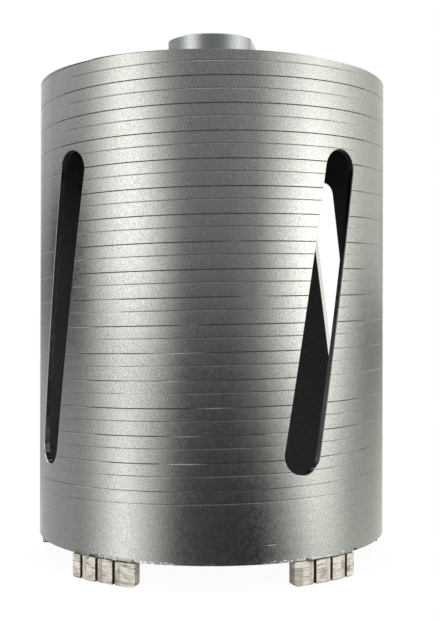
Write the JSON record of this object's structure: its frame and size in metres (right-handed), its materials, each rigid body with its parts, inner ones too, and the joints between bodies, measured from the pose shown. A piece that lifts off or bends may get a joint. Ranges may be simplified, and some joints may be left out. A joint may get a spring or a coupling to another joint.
{
  "type": "diamond core bit",
  "caption": "Dry diamond core bit: slotted steel barrel closed by a welded crown plate, with a threaded hub on top and brazed cutting segments round its open end.",
  "frame": {"origin": "on the tool's axis, in the plane of the segments' cutting faces", "axes": "+Z along the axis from the cutting faces to the hub; the slots' middles lie on +X, +Y, -X and -Y"},
  "size_m": [0.1161, 0.1162, 0.1713],
  "materials": {
    "barrel_paint": "fine grained metallic silver coating, satin",
    "crown_steel": "metallic silver coating, satin",
    "hub_steel": "turned, satin",
    "weld_metal": "rippled weld bead",
    "segment_matrix": "dry sintered metal, matt",
    "silver_braze": "bright solidified braze"
  },
  "bodies": {
    "root": {"barrel_tube": "barrel_paint", "crown_plate": "crown_steel", "threaded_hub": "hub_steel", "hub_weld": "weld_metal", "crown_weld": "weld_metal", "segment_1": "segment_matrix", "segment_2": "segment_matrix", "segment_3": "segment_matrix", "segment_4": "segment_matrix", "segment_5": "segment_matrix", "braze_1": "silver_braze", "braze_2": "silver_braze", "braze_3": "silver_braze", "braze_4": "silver_braze", "braze_5": "silver_braze"}
  },
  "joints": []
}
